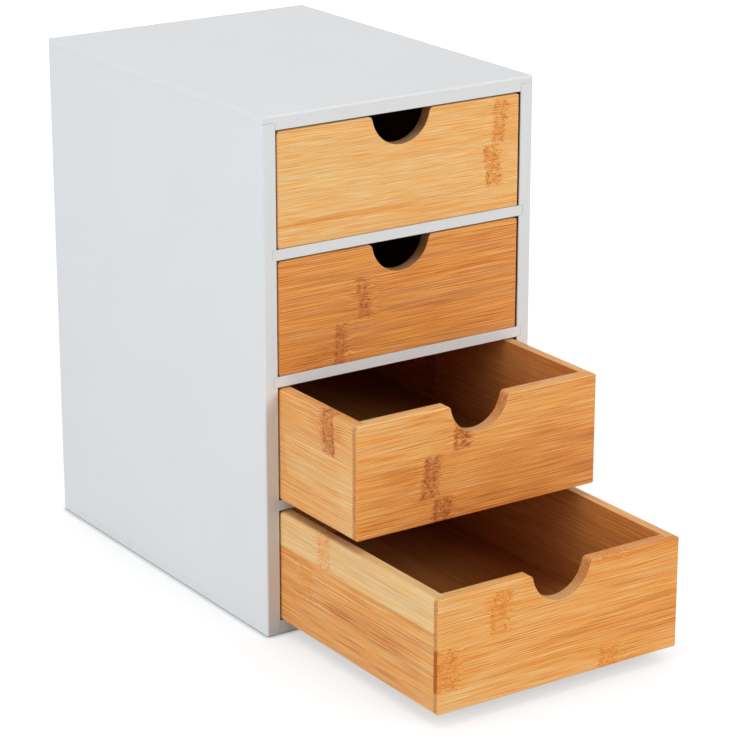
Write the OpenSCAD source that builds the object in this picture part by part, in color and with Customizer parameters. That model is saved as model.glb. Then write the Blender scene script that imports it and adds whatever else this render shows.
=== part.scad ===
// Desktop organizer: a painted case of lapped boards that holds four bamboo drawers.
// X runs to the right, Y to the back and Z up. The origin is the centre of the case's
// bottom face along X and Y together, on the surface that the case stands on.

/* [Case] */
// Width of the case
case_w = 150; // [120:1:260]
// Depth of the case, front to back
case_d = 200; // [160:1:300]
// Height of the case
case_h = 250; // [200:1:400]
// Thickness of the top, bottom and side boards
board_t = 7; // [6:0.5:12]
// Thickness of the boards between the drawers
divider_t = 5; // [4:0.5:9]
// Thickness of the back panel
back_t = 3; // [2:0.5:5]
// Rounding of the case's outer edges
case_edge_r = 1; // [0.4:0.1:1.5]

/* [Case joints] */
// How far the side panels' ends reach into the top and bottom boards
lap_depth = 3.5; // [2:0.5:5]
// How far the dividers' ends reach into the side panels
dado_depth = 2; // [1:0.5:4]
// How far the back panel's edges reach into the boards around it
rebate_depth = 3.5; // [2:0.5:5]

/* [Drawers] */
// Thickness of the drawers' fronts, backs and sides
wall_t = 6; // [5:0.5:9]
// Thickness of the lips that cover the sides' ends
lip_t = 2.5; // [1:0.5:4]
// Thickness of the drawers' bases
base_t = 3; // [2:0.5:5]
// Height of a base above its drawer's lower edge
base_lift = 4; // [2:0.5:8]
// How far a base's edges reach into the walls
groove_depth = 3; // [1:0.5:4]
// Rounding of the edges all round the drawers' front and back faces
drawer_edge_r = 0.8; // [0.3:0.1:1.5]
// Rounding of the drawers' four long edges, and so of their fronts' corners
drawer_corner_r = 1.8; // [0.3:0.1:2.4]

/* [Finger notch] */
// Width of the notch at the front's upper edge, before its shoulders are rounded
notch_w = 32; // [24:1:60]
// Depth of the notch below the front's upper edge
notch_depth = 15; // [8:1:20]
// Rounding of the notch's two shoulders
shoulder_r = 2.5; // [0.5:0.1:4]

/* [Running gaps] */
// Gap on each side of a drawer
side_gap = 0.8; // [0.3:0.1:1.5]
// Gap between a drawer and the board above it
top_gap = 0.8; // [0.4:0.1:2]
// Gap between a closed drawer and the back panel
rear_gap = 0.5; // [0.2:0.1:2]
// How far a closed drawer's front lies behind the case's front edges
front_recess = 0.3; // [0:0.1:2]

/* [Drawer positions] */
// How far drawer 1, at the top, is pulled out
open_1 = 0; // [0:1:140]
// How far drawer 2 is pulled out
open_2 = 0; // [0:1:140]
// How far drawer 3 is pulled out
open_3 = 63; // [0:1:140]
// How far drawer 4, at the bottom, is pulled out
open_4 = 126; // [0:1:140]

/* [Hidden] */
DRAWERS = [1, 2, 3, 4];
DIVIDERS = ["upper_divider", "middle_divider", "lower_divider"];
CASE_BOARDS = ["top_panel", "bottom_panel", "left_side_panel", "right_side_panel", "back_panel"];
DRAWER_BOARDS = ["front", "left_side", "right_side", "back", "base"];

// Fineness of the round edges, and how far a cut runs past the face that it opens
$fn = 64;
past = 1;

// The case's inside: its width, its half width, and the height and depth of each opening
inside_w = case_w - 2 * board_t;
opening_h = (case_h - 2 * board_t - len(DIVIDERS) * divider_t) / len(DRAWERS);
inside_d = case_d - back_t;
front_y = -case_d / 2;
back_y = case_d / 2;

// A drawer's outer size, and the places of its walls' inner faces
drawer_w = inside_w - 2 * side_gap;
drawer_d = inside_d - rear_gap - front_recess;
drawer_h = opening_h - top_gap;
drawer_inner_w = drawer_w - 2 * wall_t;

// The notch's arc passes through its lowest point and both ends of its width
notch_r = (pow(notch_w / 2, 2) + pow(notch_depth, 2)) / (2 * notch_depth);
notch_rise = notch_r - notch_depth;
// Each shoulder's arc touches the notch's arc and ends at the upper edge at this angle to it
shoulder_end = 15;
shoulder_drop = shoulder_r * cos(shoulder_end);
shoulder_x = sqrt(pow(notch_r + shoulder_r, 2) - pow(notch_rise + shoulder_drop, 2));
end_x = shoulder_x - shoulder_r * sin(shoulder_end);
touch_share = notch_r / (notch_r + shoulder_r);
touch_x = shoulder_x * touch_share;
touch_z = notch_rise - (notch_rise + shoulder_drop) * touch_share;

OPEN = [open_1, open_2, open_3, open_4];
PAINT = "#e4e6e6";
BAMBOO = ["#ecbc73", "#d68c4b", "#e8a55a", "#e8a55a"];

function drawer_node(n, board) = str("drawer_", n, "_", board);
// Height of the surface that drawer n slides on, counted from the top drawer
function floor_z(n) = board_t + (len(DRAWERS) - n) * (opening_h + divider_t);

// A rectangle about the origin with round corners
module round_rectangle(w, h, r) {
    difference() {
        square([w, h], center = true);
        for (x = [-1, 1], y = [-1, 1]) {
            translate([x * (w / 2 - r), y * (h / 2 - r)])
                difference() {
                    translate([x < 0 ? -r - past : 0, y < 0 ? -r - past : 0]) square(r + past);
                    circle(r);
                }
        }
    }
}

// A block with every edge rounded, centred on X and Y and standing on Z = 0: the four edges that
// run to the back have a radius of their own
module eased_block(w, d, h, r, long_r) {
    translate([0, 0, h / 2])
        intersection() {
            translate([0, 0, -h / 2]) linear_extrude(h) round_rectangle(w, d, r);
            translate([0, d / 2, 0])
                rotate([90, 0, 0]) linear_extrude(d) round_rectangle(w, h, long_r);
            translate([-w / 2, 0, 0])
                rotate([90, 0, 90]) linear_extrude(w) round_rectangle(d, h, r);
        }
}

// A plain block centred on X, from its front face back and from its lower face up
module board(w, d, h, y, z) {
    translate([-w / 2, y, z]) cube([w, d, h]);
}

// Both end blocks that the side panels take up, on the left and on the right
module side_blocks() {
    for (side = [-1, 1]) side_block(side);
}

module side_block(side) {
    end_z = board_t - lap_depth;
    translate([side < 0 ? -case_w / 2 : case_w / 2 - board_t, front_y, end_z])
        cube([board_t, case_d, case_h - 2 * end_z]);
}

// The back panel's block, which its rebates in the other boards match
module back_block() {
    edge_z = board_t - rebate_depth;
    board(inside_w + 2 * rebate_depth, back_t, case_h - 2 * edge_z, back_y - back_t, edge_z);
}

// The block of the divider above drawer n, which its dados in the side panels match
module divider_block(n) {
    board(inside_w + 2 * dado_depth, inside_d, divider_t, front_y, floor_z(n) - divider_t);
}

// What lies inside the case's outer faces, with their edges rounded
module in_case() {
    intersection() {
        eased_block(case_w, case_d, case_h, case_edge_r, case_edge_r);
        children();
    }
}

// The top or the bottom board: its lips lie over the side panels' ends
module end_panel(z) {
    color(PAINT) in_case()
        difference() {
            board(case_w, case_d, board_t, front_y, z);
            side_blocks();
            back_block();
        }
}

// A side panel, with its dados and its rebate for the back panel
module side_panel(side) {
    color(PAINT) in_case()
        difference() {
            side_block(side);
            for (n = [1 : len(DIVIDERS)]) divider_block(n);
            back_block();
        }
}

module back_panel() {
    color(PAINT) in_case() back_block();
}

module divider(n) {
    color(PAINT) in_case() divider_block(n);
}

// Places a drawer's boards in the case: n counts from the top
module in_drawer(n) {
    color(BAMBOO[n - 1])
        translate([0, front_y + front_recess - OPEN[n - 1], floor_z(n)])
            intersection() {
                translate([0, drawer_d / 2, 0])
                    eased_block(drawer_w, drawer_d, drawer_h, drawer_edge_r, drawer_corner_r);
                children();
            }
}

// The block of one drawer side, which reaches from lip to lip
module drawer_side_block(side) {
    translate([side < 0 ? -drawer_w / 2 : drawer_w / 2 - wall_t, lip_t, 0])
        cube([wall_t, drawer_d - 2 * lip_t, drawer_h]);
}

// The base's block, with how far it is lengthened at each end for a groove that runs through
module base_block(run_out = 0) {
    reach = wall_t - groove_depth;
    board(drawer_inner_w + 2 * groove_depth, drawer_d - 2 * reach + 2 * run_out, base_t,
        reach - run_out, base_lift);
}

// The finger notch's outline, with the front's upper edge at Z = 0: a round-shouldered arc
module notch_outline() {
    translate([0, notch_rise]) circle(notch_r);
    difference() {
        polygon([
            [-touch_x, touch_z], [touch_x, touch_z],
            [end_x, 0], [end_x, past], [-end_x, past], [-end_x, 0]
        ]);
        for (x = [-shoulder_x, shoulder_x]) translate([x, -shoulder_drop]) circle(shoulder_r);
    }
}

// The front or the back of a drawer at its outer face's Y: its lip covers the sides' ends
module drawer_end(y) {
    difference() {
        board(drawer_w, wall_t, drawer_h, y, 0);
        for (side = [-1, 1]) drawer_side_block(side);
        base_block();
    }
}

module drawer_front() {
    difference() {
        drawer_end(0);
        translate([0, wall_t + past, drawer_h])
            rotate([90, 0, 0]) linear_extrude(wall_t + 2 * past) notch_outline();
    }
}

module drawer_back() {
    drawer_end(drawer_d - wall_t);
}

// A drawer side, with the groove that its base slides into
module drawer_side(side) {
    difference() {
        drawer_side_block(side);
        base_block(run_out = wall_t);
    }
}

end_panel(case_h - board_t);  // top_panel
end_panel(0);  // bottom_panel
side_panel(-1);  // left_side_panel
side_panel(1);  // right_side_panel
back_panel();
for (n = [1 : len(DIVIDERS)]) {
    divider(n);
}
for (n = DRAWERS) {
    in_drawer(n) drawer_front();
    in_drawer(n) drawer_side(-1);
    in_drawer(n) drawer_side(1);
    in_drawer(n) drawer_back();
    in_drawer(n) base_block();
}
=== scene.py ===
"""The look of the desktop organizer: a white painted case and four drawers of pressed bamboo.

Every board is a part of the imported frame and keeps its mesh. This script gives each board its
finish, sets the floor, the studio light and the camera, and leaves sizes and places alone.
Lengths are in metres, and the sizes inside the bamboo and the paint are in millimetres.
"""

import functools
import math

import bpy
import numpy as np
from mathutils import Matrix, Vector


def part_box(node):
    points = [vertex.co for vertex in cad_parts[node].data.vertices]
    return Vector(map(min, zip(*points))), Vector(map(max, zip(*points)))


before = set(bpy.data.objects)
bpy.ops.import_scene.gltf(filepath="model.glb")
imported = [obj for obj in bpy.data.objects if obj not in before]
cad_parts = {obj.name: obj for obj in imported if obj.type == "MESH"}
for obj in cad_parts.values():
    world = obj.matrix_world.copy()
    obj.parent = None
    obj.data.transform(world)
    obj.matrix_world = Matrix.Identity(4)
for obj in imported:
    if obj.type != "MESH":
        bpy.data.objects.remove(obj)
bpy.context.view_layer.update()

MM = 0.001


# ---------------------------------------------------------------------------------------------
# Shader maths
# ---------------------------------------------------------------------------------------------


class Wire:
    """A value inside a finish. Arithmetic on it adds Math nodes."""

    def __init__(self, finish, socket):
        self.finish = finish
        self.socket = socket

    def math(self, operation, *others):
        settings = {"operation": operation}
        return self.finish.node("ShaderNodeMath", settings, dict(enumerate((self, *others))))

    def __add__(self, other):
        return self.math("ADD", other)

    def __sub__(self, other):
        return self.math("SUBTRACT", other)

    def __rsub__(self, other):
        return self * -1.0 + other

    def __mul__(self, other):
        return self.math("MULTIPLY", other)

    def __truediv__(self, other):
        return self.math("DIVIDE", other)

    __radd__ = __add__
    __rmul__ = __mul__

    def least(self, other):
        return self.math("MINIMUM", other)

    def most(self, other):
        return self.math("MAXIMUM", other)

    def floor(self):
        return self.math("FLOOR")

    def wave(self):
        """A sine from -1 to 1 that comes round once for each whole step of the value."""
        return (self * (2 * math.pi)).math("SINE")

    def size(self):
        """The value without its sign."""
        return self.math("ABSOLUTE")

    def ramp(self, low, high, smooth=False):
        """0 where the value is at low, 1 where it is at high, and in between between them."""
        settings = {"interpolation_type": "SMOOTHSTEP" if smooth else "LINEAR", "clamp": True}
        values = {"Value": self, "From Min": low, "From Max": high}
        return self.finish.node("ShaderNodeMapRange", settings, values)

    def near(self, place, reach):
        """1 where the value is within reach of place, and 0 elsewhere."""
        return self.math("COMPARE", place, reach)


class Finish:
    """The nodes of one material, or of the studio's surroundings."""

    def __init__(self, owner):
        self.owner = owner
        owner.use_nodes = True
        self.tree = owner.node_tree
        self.tree.nodes.clear()

    def node(self, kind, settings=None, values=None, out=0):
        """Adds a node, sets its settings and then its sockets, and returns one of its outputs."""
        made = self.tree.nodes.new(kind)
        for key, value in (settings or {}).items():
            setattr(made, key, value)
        for key, value in (values or {}).items():
            socket = made.inputs[key]
            if isinstance(value, Wire):
                self.tree.links.new(value.socket, socket)
            else:
                socket.default_value = value
        return Wire(self, made.outputs[out]) if made.outputs else None

    def mix(self, share, first, second):
        """The first colour where share is 0 and the second where it is 1."""
        settings = {"data_type": "RGBA", "clamp_factor": True}
        return self.node("ShaderNodeMix", settings, {0: share, 6: first, 7: second}, out=2)

    def vector(self, x, y, z):
        return self.node("ShaderNodeCombineXYZ", None, {"X": x, "Y": y, "Z": z})

    def parts(self, vector):
        """The X, Y and Z of a vector, as three values."""
        outputs = self.node("ShaderNodeSeparateXYZ", None, {0: vector}).socket.node.outputs
        return [Wire(self, outputs[axis]) for axis in range(3)]

    def noise(self, vector, detail=1.0, roughness=0.5, scale=1.0):
        """Smooth noise about 0.5."""
        values = {"Vector": vector, "Scale": scale, "Detail": detail, "Roughness": roughness}
        return self.node("ShaderNodeTexNoise", {"noise_dimensions": "3D"}, values)

    def cells(self, vector):
        """How far the point is from the nearest of many scattered centres, one to a unit cube."""
        settings = {"voronoi_dimensions": "3D", "feature": "F1"}
        return self.node("ShaderNodeTexVoronoi", settings, {"Vector": vector, "Scale": 1.0})

    def edges(self, radius):
        """1 on a board's edges and 0 further away than radius, and the rounded normal there."""
        rounded = self.node("ShaderNodeBevel", {"samples": 6}, {"Radius": radius})
        flat = self.node("ShaderNodeNewGeometry", out="True Normal")
        same = self.node("ShaderNodeVectorMath", {"operation": "DOT_PRODUCT"},
                         {0: rounded, 1: flat}, out="Value")
        return same.ramp(0.995, 0.80), rounded

    def bump(self, strength, depth, height, rounded):
        """The normal of a surface whose height varies by up to depth."""
        values = {"Strength": strength, "Distance": depth, "Height": height, "Normal": rounded}
        return self.node("ShaderNodeBump", None, values)

    def principled(self, values):
        self.surface(self.node("ShaderNodeBsdfPrincipled", None, values))

    def surface(self, shader):
        kind = "World" if isinstance(self.owner, bpy.types.World) else "Material"
        self.node("ShaderNodeOutput" + kind, None, {"Surface": shader})


def greatest(wires):
    """The highest of several values."""
    return functools.reduce(lambda first, second: first.most(second), wires)


def least(wires):
    """The lowest of several values."""
    return functools.reduce(lambda first, second: first.least(second), wires)


def colour(text):
    """A colour written as #rrggbb, in the linear values that shaders take."""
    parts = [int(text[i:i + 2], 16) / 255 for i in (1, 3, 5)]
    return (*(p / 12.92 if p <= 0.04045 else ((p + 0.055) / 1.055) ** 2.4 for p in parts), 1.0)


# ---------------------------------------------------------------------------------------------
# Bamboo
# ---------------------------------------------------------------------------------------------

# The pressed board is made of strips of cane laid edge to edge
STRIP = 20.7

# Cane runs from cream to rust: its tones at 0, 0.25, 0.5, 0.75 and 1
CANE = [colour(text) for text in ("#f7d49a", "#f5ba6e", "#f7a44c", "#df8b44", "#c26f2e")]
# Here and there it is rosier
ROSE = colour("#d9a277")
# The tint, the grit and the dark specks of the joints of each drawer, or of one board
MARKS = {
    "drawer_1": ("#e8903e", "#d67a32", "#8f4210"),
    "drawer_2": ("#d47c46", "#b05c2e", "#6a2a0e"),
    "drawer_3": ("#c8733e", "#a44f24", "#682a0e"),
    "drawer_4": ("#fba54a", "#e8903c", "#ae5c1c"),
    "drawer_3_left_side": ("#cc6c2c", "#ac5218", "#702c0c"),
}
SEAM = colour("#a4602c")
# Painted shade on the wood of the boards' inner faces
INNER_SHADE = colour("#a0602c")
# A grey veil of painted sheen on their upper edges and on the drawers' sides
SHEEN_VEIL = colour("#8a7a5c")
# The fresh cut at the bottom of a finger notch, and the painted shade on a notch's cut
FRESH = colour("#deb282")
NOTCH_SHADE_TINT = colour("#3c2414")
# The sawn ends of the fibres, and the paler ground between them
END_DOT = colour("#8c4a26")
END_GROUND = colour("#d28c56")

# How much painted shade darkens the cut of each drawer's notch, from the top drawer down
NOTCH_SHADE = (0.8, 0.85, 0.12, 0.12)
# How strongly each drawer's grain shows, how short it is and how rosy the cane is in places
GRAIN = ((0.88, 1.3, 0.12), (1.0, 0.9, 0.20), (1.05, 1.0, 0.12), (1.0, 1.0, 0.05))
# The same on the drawers' sides
SIDE_GRAIN = (1.15, 0.9, 0.20)

# On a front, pairs of where a share is 0 and where it is full: the notch's reach to either side
# of the middle, how high up it starts, and what lies below the front's upper edge
NOTCH_REACH = (18.5, 17.5)
NOTCH_START = (38.0, 40.0)
BELOW_EDGE = (53.6, 53.2)

# The boards that show most. The height of the lowest seam between strips, how softly the tone
# changes at a seam, and each strip's tone from the lowest up, at the board's start and its end.
# A joint is its strip, how far along the board it is, half its width, how far it leans across
# the strip, and its strength. A stain is its middle and half its size along the board, the same
# across it, and its strength
BOARDS = {
    "drawer_1_front": {
        "seam": 11.7, "soft": 0.12,
        "tones": ((0.25, 0.29), (0.20, 0.24), (0.21, 0.30), (0.25, 0.25)),
        "joints": ((2, 122.8, 2.9, 1.5, 0.75), (1, 118.7, 3.6, -2.5, 0.85)),
        "stains": ((34.0, 55.0, 10.6, 2.2, 0.24), (30.0, 45.0, 33.0, 2.5, -0.05),
                   (126.0, 9.0, 40.0, 14.0, 0.06)),
    },
    "drawer_2_front": {
        "seam": 19.6, "soft": 0.30,
        "tones": ((0.70, 0.66), (0.66, 0.68), (0.65, 0.65), (0.66, 0.64)),
        "joints": ((1, 46.1, 2.3, -2.0, 0.85), (0, 33.3, 2.2, 0.8, 0.90)),
        "stains": ((95.0, 45.0, 22.0, 4.0, 0.06), (12.0, 20.0, 6.0, 6.0, 0.05)),
    },
    "drawer_3_front": {
        "seam": 11.8, "soft": 0.25,
        "tones": ((0.61, 0.74), (0.48, 0.72), (0.41, 0.51), (0.10, 0.66)),
        "joints": ((2, 57.9, 3.8, 1.0, 0.95), (1, 40.2, 3.7, 3.0, 1.0),
                   (0, 45.9, 4.6, 3.8, 0.85)),
        "stains": ((68.0, 20.0, 7.0, 8.0, 0.10), (24.0, 12.0, 25.0, 9.0, 0.08)),
    },
    "drawer_4_front": {
        "seam": 10.2, "soft": 0.20,
        "tones": ((0.28, 0.48), (0.37, 0.61), (0.33, 0.50), (0.32, 0.80)),
        "joints": ((3, 94.7, 4.4, 0.5, 0.9), (2, 33.4, 4.4, 1.5, 0.85),
                   (1, 3.7, 5.4, -1.0, 0.95), (0, 94.0, 4.6, 1.5, 0.95)),
        "stains": ((16.0, 14.0, 21.0, 9.0, 0.10), (33.0, 9.0, 45.0, 8.0, 0.08)),
    },
    "drawer_3_left_side": {
        "seam": 14.2, "soft": 0.10,
        "tones": ((0.35, 0.48), (0.34, 0.40), (0.48, 0.46), (0.46, 0.46)),
        "joints": ((2, 19.5, 4.2, 1.5, 0.95), (1, 59.5, 4.0, 1.5, 0.20)),
        "stains": ((22.0, 16.0, 47.0, 7.0, 0.10), (40.0, 22.0, 8.6, 0.9, 0.20),
                   # The last stain, paler towards the front end, is painted sheen
                   (2.0, 12.0, 26.0, 40.0, -0.10)),
    },
    "drawer_4_left_side": {
        "seam": 17.5, "soft": 0.04,
        "tones": ((0.53, 0.58), (0.51, 0.55), (0.02, 0.11), (0.01, 0.01)),
        "joints": ((2, 86.5, 3.8, 1.5, 0.60), (1, 101.5, 4.4, 1.5, 0.50)),
        "stains": ((50.0, 46.0, 21.0, 5.5, 0.20), (75.0, 13.0, 21.5, 3.6, 0.18),
                   # The last stain, paler towards the front end, is painted sheen
                   (50.0, 46.0, 14.0, 3.5, -0.08), (2.0, 12.0, 18.0, 40.0, -0.10)),
    },
}

# The middle tone of each drawer's other boards, from the top drawer down, and how much darker
# the bases are
LEVELS = (0.32, 0.62, 0.56, 0.33)
BASE_DARKER = 0.04
# At least as many strips as the widest board, a base, is laid from
STRIPS = 8

# Where each kind of board faces the inside of its drawer: an axis, and which way along it
INWARD = {"left_side": (0, 1), "right_side": (0, -1), "front": (1, 1), "back": (1, -1),
          "base": (2, 1)}


def board_frame(name):
    """The board's lowest corner, and which axes run along its grain, across it and through it."""
    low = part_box(name)[0]
    if name.endswith("side"):
        return low, (1, 2, 0)
    if name.endswith("base"):
        return low, (1, 0, 2)
    return low, (0, 2, 1)


def plain_board(name, number):
    """Seam, tones and joints for a board that hardly shows, drawn by chance from its number."""
    rng = np.random.default_rng(number)
    low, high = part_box(name)
    along = board_frame(name)[1][0]
    length = (high[along] - low[along]) / MM
    level = LEVELS[int(name.split("_")[1]) - 1]
    if name.endswith("base"):
        level += BASE_DARKER
    tones = (level + rng.uniform(-0.12, 0.12, (STRIPS, 1))
             + rng.uniform(-0.05, 0.05, (STRIPS, 2)))
    joints = [(strip, rng.uniform(0.1, 0.9) * length, rng.uniform(3.2, 4.8),
               rng.uniform(-2.5, 2.5), rng.uniform(0.6, 0.9)) for strip in range(STRIPS)]
    return {"seam": rng.uniform(4, STRIP), "soft": 0.1, "tones": tones, "joints": joints,
            "stains": ()}


def cane_joints(joints, along, up, strip, ragged, shag):
    """The joints of the cane: a band across one strip, sharp on one edge and torn on the other.
    Returns the bands, their two edges, how near a joint the point is, and the stretch just past
    each joint."""
    bands, rims, arounds, fans = [], [], [], []
    for index, distance, half, lean, depth in joints:
        offset = along - distance - up * lean
        here = strip.near(index, 0.5) * depth
        sharp = (offset + ragged * 3.0 + shag * 3.0).ramp(-half - 0.8, -half + 0.8)
        torn = (offset + ragged * 5.0 + shag * 9.0).ramp(half + 2.4, half - 1.8)
        bands.append(sharp * torn * here)
        rims.append(sharp * torn * here * offset.size().ramp(half * 0.3, half * 0.9))
        arounds.append(offset.size().ramp(18.0, 2.0, smooth=True) * here)
        fans.append(offset.ramp(half + 9.0, half) * offset.ramp(0.0, half) * here)
    inside = up.size().ramp(0.5, 0.46)
    return greatest(bands) * inside, greatest(rims) * inside, greatest(arounds), greatest(fans)


def strip_tone(board, length, along, strips):
    """The strips' own tones, which change from one to the next at the seams."""
    soft = board["soft"]
    levels = [along * float((end - start) / length) + float(start)
              for start, end in board["tones"]]
    level = levels[0]
    for index, (below, above) in enumerate(zip(levels, levels[1:])):
        level = level + (above - below) * strips.ramp(index + 1 - soft, index + 1 + soft, True)
    return level


def bamboo(name, number):
    """Pressed bamboo, solid through the board: fibres run along the grain as long thin lines,
    and on the board's ends the same fibres show as dots. The factors inside a noise set how
    fine it is along the grain, across it and through the board."""
    board = BOARDS.get(name) or plain_board(name, number)
    drawer = int(name.split("_")[1])
    is_front, is_side = name.endswith("front"), name.endswith("side")
    low, axes = board_frame(name)
    length = float(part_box(name)[1][axes[0]] - low[axes[0]]) / MM

    f = Finish(bpy.data.materials.new("bamboo_" + name))
    place = f.parts(f.node("ShaderNodeTexCoord", out="Object"))
    facing = f.parts(f.node("ShaderNodeTexCoord", out="Normal"))
    along, across, through = ((place[axis] - low[axis]) / MM for axis in axes)
    sawn = facing[axes[0]].size().ramp(0.35, 0.9, smooth=True)
    inner_axis, inner_way = INWARD[name.split("_", 2)[2]]
    inner = (facing[inner_axis] * float(inner_way)).ramp(0.6, 0.9)
    upper = facing[2].ramp(0.6, 0.9)
    marks = MARKS.get(name) or MARKS["drawer_%d" % drawer]
    tint, gritty, speck = (colour(text) for text in marks)
    strength, short, rosy = SIDE_GRAIN if is_side else GRAIN[drawer - 1]

    # Which strip this is, and how far up it
    strips = (across - board["seam"]) / STRIP + 1.0
    strip = strips.floor()
    up = strips - strip - 0.5
    seed = strip * 13.7 + number * 3.1

    ragged = f.noise(f.vector(along * 0.45, across * 0.7, seed)) - 0.5
    shag = f.noise(f.vector(along * 0.16, across * 1.5, seed)) - 0.5
    band, rim, around, fan = cane_joints(board["joints"], along, up, strip, ragged, shag)

    # Fibres wander a little, and more beside a joint
    sway = f.noise(f.vector(along * 0.012, across * 0.05, seed)) - 0.5
    ripple = f.noise(f.vector(along * 0.10, across * 0.22, seed)) - 0.5
    flutter = f.noise(f.vector(along * 0.22, across * 0.24, seed + 5.0)) - 0.5
    drift = across + sway * 2.2 + ripple * (around * 2.6 + 0.25 * short) + flutter * fan * 5.0

    # The lines of the grain
    broad = f.noise(f.vector(along * 0.008, drift * 0.13, through * 0.13 + seed)) - 0.5
    streak = f.noise(f.vector(along * 0.014, drift * 0.60, through * 0.60 + seed), 1.0) - 0.5
    fibre = f.noise(f.vector(along * (0.024 * short), drift * 2.4, through * 2.4 + seed),
                    1.0, 0.6) - 0.5
    hair = f.noise(f.vector(along * (0.042 * short), drift * 3.9, through * 3.8 + seed)) - 0.5
    wander = f.noise(f.vector(along * (0.014 * short), drift * 0.42, through * 0.42 + seed + 2.0))
    threads = (drift * 1.05 + through * 0.5 + wander * 1.9).wave() * (streak * 1.6 + 0.55)
    dash = f.noise(f.vector(along * 0.22, drift * 1.9, through * 1.9 + seed), 1.0, 0.6) - 0.5
    tubes = f.cells(f.vector(along * 0.030, drift * 1.15, through * 1.15 + seed))
    vein = tubes.ramp(0.30, 0.12, smooth=True)
    grain = (streak * 0.08 + fibre * 0.85 + hair * 1.5 + threads * 0.20
             + dash * (around * 0.7 + 0.10) + vein * 0.08 - 0.02)

    # The strips' tones and the stains
    level = strip_tone(board, length, along, strips)
    for middle, reach, height, spread, depth in board["stains"]:
        away_along = (along + ragged * 6.0 - middle) / reach
        away_across = (drift - height) / spread
        away = away_along * away_along + away_across * away_across
        level = level + away.ramp(1.0, 0.1, smooth=True) * depth

    # A joint is deeper, blotched and gritty
    blot = f.noise(f.vector(along * 0.40, across * 0.26, seed)).ramp(0.38, 0.60)
    grit = f.noise(f.vector(along * 0.6, across * 1.2, through * 1.2 + seed), 1.0).ramp(0.48, 0.58)
    pips = f.cells(f.vector(along * 0.85, across * 0.85, through * 0.85 + seed))
    pips = pips.ramp(0.36, 0.20, smooth=True)

    # Upward faces are made paler, a painted highlight, and inner faces darker, painted shade
    tone = (level + broad * 0.10 + grain * strength + around * 0.04
            + band * (blot * 0.15 + 0.03) - upper * 0.08 + inner * 0.34)
    wood = CANE[0]
    steps = len(CANE) - 1
    for step in range(steps):
        wood = f.mix(tone.ramp(step / steps, (step + 1) / steps), wood, CANE[step + 1])
    blush = f.noise(f.vector(along * 0.014, drift * 0.20, seed + 9.0))
    wood = f.mix(blush.ramp(0.42, 0.66) * rosy, wood, ROSE)
    wood = f.mix(band * (blot * 0.30 + 0.12) + rim * 0.30, wood, tint)
    wood = f.mix((band * (blot * 0.30 + 0.35) + rim * 0.45) * grit, wood, gritty)
    wood = f.mix(band * pips * 0.40 + rim * pips * 0.75, wood, speck)

    # Strips meet in a faint dark line
    seam_line = up.size().ramp(0.5 - 0.3 / STRIP, 0.5, smooth=True)
    wood = f.mix(seam_line * 0.14, wood, SEAM)

    # The sawn ends of the fibres, the cut of the notch with its painted shade, painted sheen on
    # upper faces and sides, and painted shade on the wood inside the drawer
    dots = f.cells(f.vector(along * 0.05, across * 1.6, through * 1.6 + seed))
    ends = f.mix(dots.ramp(0.50, 0.24, smooth=True), END_GROUND, END_DOT)
    wood = f.mix(sawn * 0.83, wood, ends)
    wood = f.mix(sawn * band, wood, speck)
    if is_front:
        notch = (along - length / 2).size().ramp(*NOTCH_REACH) * across.ramp(*NOTCH_START)
        wood = f.mix(upper * across.ramp(*BELOW_EDGE) * 0.5, wood, FRESH)
        # Painted shade on the notch's cut, darkest on the two top drawers
        wood = f.mix(notch * (sawn * 0.8 + upper * 0.25) * NOTCH_SHADE[drawer - 1], wood, NOTCH_SHADE_TINT)
    # Painted sheen: a grey veil on upward faces, and on all of a side
    sheen_veil = upper * 0.22
    if is_side:
        sheen_veil = sheen_veil.most(0.12)
    wood = f.mix(sheen_veil, wood, SHEEN_VEIL)
    # Painted shade on the inner faces of the drawer
    wood = f.mix(inner * 0.40, wood, INNER_SHADE)

    # Sanded edges are a little paler, most of all round the finger notch: partly wear and partly a
    # painted highlight
    edge_band, rounded = f.edges(0.5 * MM)
    wear_and_highlight = notch * 0.4 + 0.22 if is_front else 0.22
    wood = f.mix(edge_band * (1.0 - sawn) * wear_and_highlight, wood, CANE[0])

    relief = streak * 0.4 + fibre * 0.5 - vein * 0.35 - band * pips * 0.4 - seam_line * 0.5
    f.principled({
        "Base Color": wood,
        "Roughness": 0.40 + fibre * 0.2 + band * 0.08 + (sawn * 0.2).most(inner * 0.15),
        "Normal": f.bump(0.4, 0.05 * MM, relief, rounded),
        "IOR": 1.44,
        "Specular IOR Level": 0.2,
    })
    return f.owner


# ---------------------------------------------------------------------------------------------
# Paint
# ---------------------------------------------------------------------------------------------

# White paint between two faint clouds of it, where an edge is worn, and in a joint's hairline
WHITE = (colour("#e4e6e8"), colour("#dfe1e3"))
WORN_PAINT = colour("#aaa69e")
HAIRLINE = colour("#8c8780")
# Painted shade on the boards inside the case
INSIDE_SHADE = colour("#7a5444")

# From the middle of the case, the side panels' outer and inner faces, how far the dividers are
# let into them, and the back panel's edge
OUTER, INNER, LET_IN, REBATE = 75.0, 68.0, 70.0, 71.5
# How thick the boards are, and how much of that laps over at a corner
BOARD, LAP = 7.0, 3.5


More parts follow.
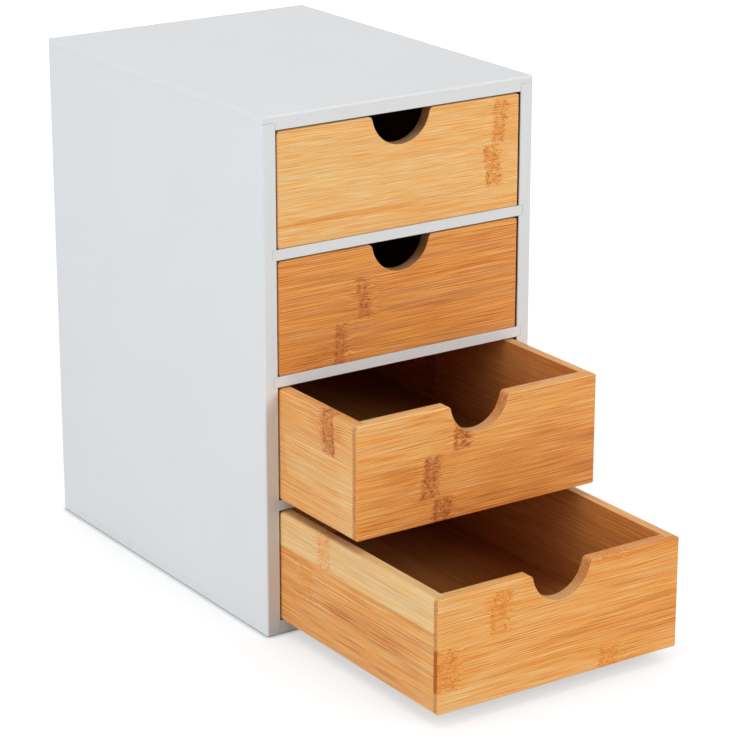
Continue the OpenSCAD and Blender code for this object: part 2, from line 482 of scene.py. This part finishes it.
def case_paint():
    """Satin white paint: a fine peel, faint clouds, worn edges, and hairlines where the boards
    of the case meet on its front and its back."""
    f = Finish(bpy.data.materials.new("case_paint"))
    place = f.node("ShaderNodeTexCoord", out="Object")
    x, y, z = (axis / MM for axis in f.parts(place))
    clouds = f.noise(place, 3.0, 0.5, scale=14.0)
    peel = f.noise(place, 2.0, 0.6, scale=900.0)
    nap = f.noise(place, 2.0, 0.5, scale=220.0)
    broken = f.noise(place, 2.0, 0.6, scale=260.0)

    lines = joint_lines(x.size(), y, z) * broken.ramp(0.36, 0.52)
    # Inside the case, the boards are darkened by painted shade. Each row is a direction, the place
    # along it where the painted shade ends, and over what distance it grows to its full strength
    low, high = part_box("bottom_panel")[1][2] / MM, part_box("top_panel")[0][2] / MM
    sides = [(x.size(), INNER + 1.0, -0.5), (z, low - 1.0, 0.5), (z, high + 1.0, -0.5),
             (y, -99.6, 0.5), (y, 98.0, -0.5)]
    inside_shade = least(axis.ramp(edge, edge + growth) for axis, edge, growth in sides)

    edge_band, rounded = f.edges(0.35 * MM)
    paint = f.mix(clouds, *WHITE)
    paint = f.mix(edge_band * broken.ramp(0.42, 0.62) * 0.28, paint, WORN_PAINT)
    paint = f.mix(lines * 0.4, paint, HAIRLINE)
    paint = f.mix(inside_shade, paint, INSIDE_SHADE)

    relief = peel * 0.6 + nap * 0.8 - lines * 3.0
    f.principled({
        "Base Color": paint,
        "Roughness": 0.42 + (nap - 0.5) * 0.10 + (clouds - 0.5) * 0.08,
        "Normal": f.bump(0.25, 0.03 * MM, relief, rounded),
        "IOR": 1.46,
    })
    return f.owner


def joint_lines(x, y, z):
    """1 on the joints that show through the paint: on the case's front the laps at its corners
    and the dividers' ends let into the side panels, and on its back the back panel's edges."""
    def line(across, place, along, start, end):
        return ((across - place).size().ramp(0.22, 0.05)
                * along.near((start + end) / 2, (end - start) / 2))

    low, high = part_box("bottom_panel")[0][2] / MM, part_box("top_panel")[1][2] / MM
    laps = (low + LAP, high - LAP)
    front = [line(z, lap, x, INNER, OUTER) for lap in laps]
    front += [line(x, INNER, z, laps[0], low + BOARD), line(x, INNER, z, high - BOARD, laps[1])]
    for name in ("upper_divider", "middle_divider", "lower_divider"):
        bottom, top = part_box(name)[0][2] / MM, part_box(name)[1][2] / MM
        front += [line(z, bottom, x, INNER, LET_IN), line(z, top, x, INNER, LET_IN),
                  line(x, LET_IN, z, bottom, top)]
    back = [line(z, lap, x, 0.0, OUTER) for lap in laps]
    back.append(line(x, REBATE, z, *laps))
    return (greatest(front) * y.ramp(-98.0, -99.0)).most(greatest(back) * y.ramp(98.0, 99.0))


def dress():
    """Gives every board its finish."""
    paint = case_paint()
    for number, name in enumerate(sorted(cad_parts)):
        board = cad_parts[name]
        finish = bamboo(name, number) if name.startswith("drawer") else paint
        board.data.materials.clear()
        board.data.materials.append(finish)


# ---------------------------------------------------------------------------------------------
# Floor, light and camera
# ---------------------------------------------------------------------------------------------

# The camera stands before the case's left corner and looks down on it
CAMERA_PLACE = (-0.7280, -1.1532, 0.5506)
CAMERA_AZIMUTH = 33.97
CAMERA_TILT = 18.62
CAMERA_LENS = 140.9

FLOOR_SIDE = 30.0
# How bright the floor is by its own light, by the object and far from it
FLOOR_GLOW = (0.79, 0.97)
# How far from the object the first of these ends and the second begins
FLOOR_REACH = (0.2, 0.9)
# Painted shade that dims that light, in the line of contact and in the corners under the object:
# how near the object has to be, by how much it dims, and how open a place is that isn't dimmed
FLOOR_CONTACT_SHADE = (0.003, 1.0, 1.0)
FLOOR_SHADE = (0.080, 0.34, 0.72)
# The floor's own colour, for the light it throws on the object and for the camera
FLOOR_BOUNCE = colour("#d2d2d2")
FLOOR_SEEN = colour("#959595")

# The soft light from all round
SKY = (0.97, 0.985, 1.0, 1.0)
SKY_STRENGTH = 0.25
# Each lamp's place, its side, its power in watts, its tint, and whether a gloss shows it: the
# one behind would glare on the case's top
LAMPS = {
    "left_lamp": ((-1.96, -0.35, 0.45), 1.2, 22.3, (0.96, 0.98, 1.0), True),
    "front_lamp": ((1.0, -2.02, 1.02), 1.4, 29.0, (1.0, 0.985, 0.935), True),
    "top_lamp": ((-0.45, -0.15, 2.0), 1.2, 12.3, (0.99, 0.99, 1.0), True),
    "back_lamp": ((0.7, 1.95, 0.75), 1.2, 18.0, (0.99, 0.99, 1.0), False),
}
# What the lamps point at
MIDDLE = (0.0, -0.05, 0.12)

BLACK = colour("#000000")
FULL_WHITE = colour("#ffffff")


def add(name, data):
    """Puts a new object with this data into the scene."""
    made = bpy.data.objects.new(name, data)
    bpy.context.scene.collection.objects.link(made)
    return made


def seen_directly(f):
    """1 for what the camera sees itself, or in a gloss or through glass, and 0 for its light."""
    outputs = f.node("ShaderNodeLightPath").socket.node.outputs
    rays = ("Is Camera Ray", "Is Glossy Ray", "Is Transmission Ray")
    return greatest(Wire(f, outputs[name]) for name in rays)


def floor():
    """A wide pale floor under the case: it glows white to the camera, keeps the lamps' shadow, and
    painted shade dims its glow near the object.
    """
    half = FLOOR_SIDE / 2
    corners = [(-half, -half, 0), (half, -half, 0), (half, half, 0), (-half, half, 0)]
    mesh = bpy.data.meshes.new("floor")
    mesh.from_pydata(corners, [], [(0, 1, 2, 3)])
    plane = add("floor", mesh)

    f = Finish(bpy.data.materials.new("floor"))
    place = f.node("ShaderNodeTexCoord", out="Object")
    distance = f.node("ShaderNodeVectorMath", {"operation": "LENGTH"}, {0: place}, out="Value")
    near, far = FLOOR_GLOW
    strength = near + distance.ramp(*FLOOR_REACH, smooth=True) * (far - near)
    # Painted shade: ambient occlusion dims the floor's glow near the object
    for reach, share, clear in (FLOOR_CONTACT_SHADE, FLOOR_SHADE):
        open_share = f.node("ShaderNodeAmbientOcclusion", {"samples": 12}, {"Distance": reach},
                            out="AO")
        strength = strength * (1.0 - open_share.ramp(clear, 0.0) * share)
    seen = seen_directly(f)
    glow = f.node("ShaderNodeEmission", None, {
        "Color": f.mix(strength * seen, BLACK, FULL_WHITE)})
    diffuse = f.node("ShaderNodeBsdfDiffuse", None, {
        "Color": f.mix(seen, FLOOR_BOUNCE, FLOOR_SEEN)})
    f.surface(f.node("ShaderNodeAddShader", None, {0: diffuse, 1: glow}))
    mesh.materials.append(f.owner)


def lamp(name, place, side, power, tint, mirrored):
    """A square soft lamp that points at the object."""
    data = bpy.data.lights.new(name, "AREA")
    data.shape = "SQUARE"
    data.size = side
    data.energy = power
    data.color = tint
    holder = add(name, data)
    holder.location = place
    holder.visible_glossy = mirrored
    way = np.array(MIDDLE) - np.array(place)
    turn = math.atan2(way[1], way[0])
    lean = math.atan2(math.hypot(way[0], way[1]), -way[2])
    holder.rotation_euler = (lean, 0, turn - math.pi / 2)


def studio():
    """Soft light from all round, white to the camera, and four large lamps: overhead, at the
    left, a slightly warm one before the front, and one behind."""
    world = bpy.data.worlds.new("studio")
    bpy.context.scene.world = world
    f = Finish(world)
    light = f.node("ShaderNodeBackground", None, {"Color": SKY, "Strength": SKY_STRENGTH})
    white = f.node("ShaderNodeBackground", None, {"Color": FULL_WHITE, "Strength": 1.0})
    f.surface(f.node("ShaderNodeMixShader", None, {0: seen_directly(f), 1: light, 2: white}))

    for name, settings in LAMPS.items():
        lamp(name, *settings)


def camera():
    """A long lens at the left front corner."""
    data = bpy.data.cameras.new("camera")
    data.sensor_width = 36.0
    data.lens = CAMERA_LENS
    data.clip_start = 0.05
    data.clip_end = 60.0
    eye = add("camera", data)
    eye.location = CAMERA_PLACE
    eye.rotation_euler = (math.radians(90 - CAMERA_TILT), 0, math.radians(-CAMERA_AZIMUTH))
    bpy.context.scene.camera = eye


dress()
floor()
studio()
camera()
bpy.context.scene.view_settings.view_transform = "Standard"
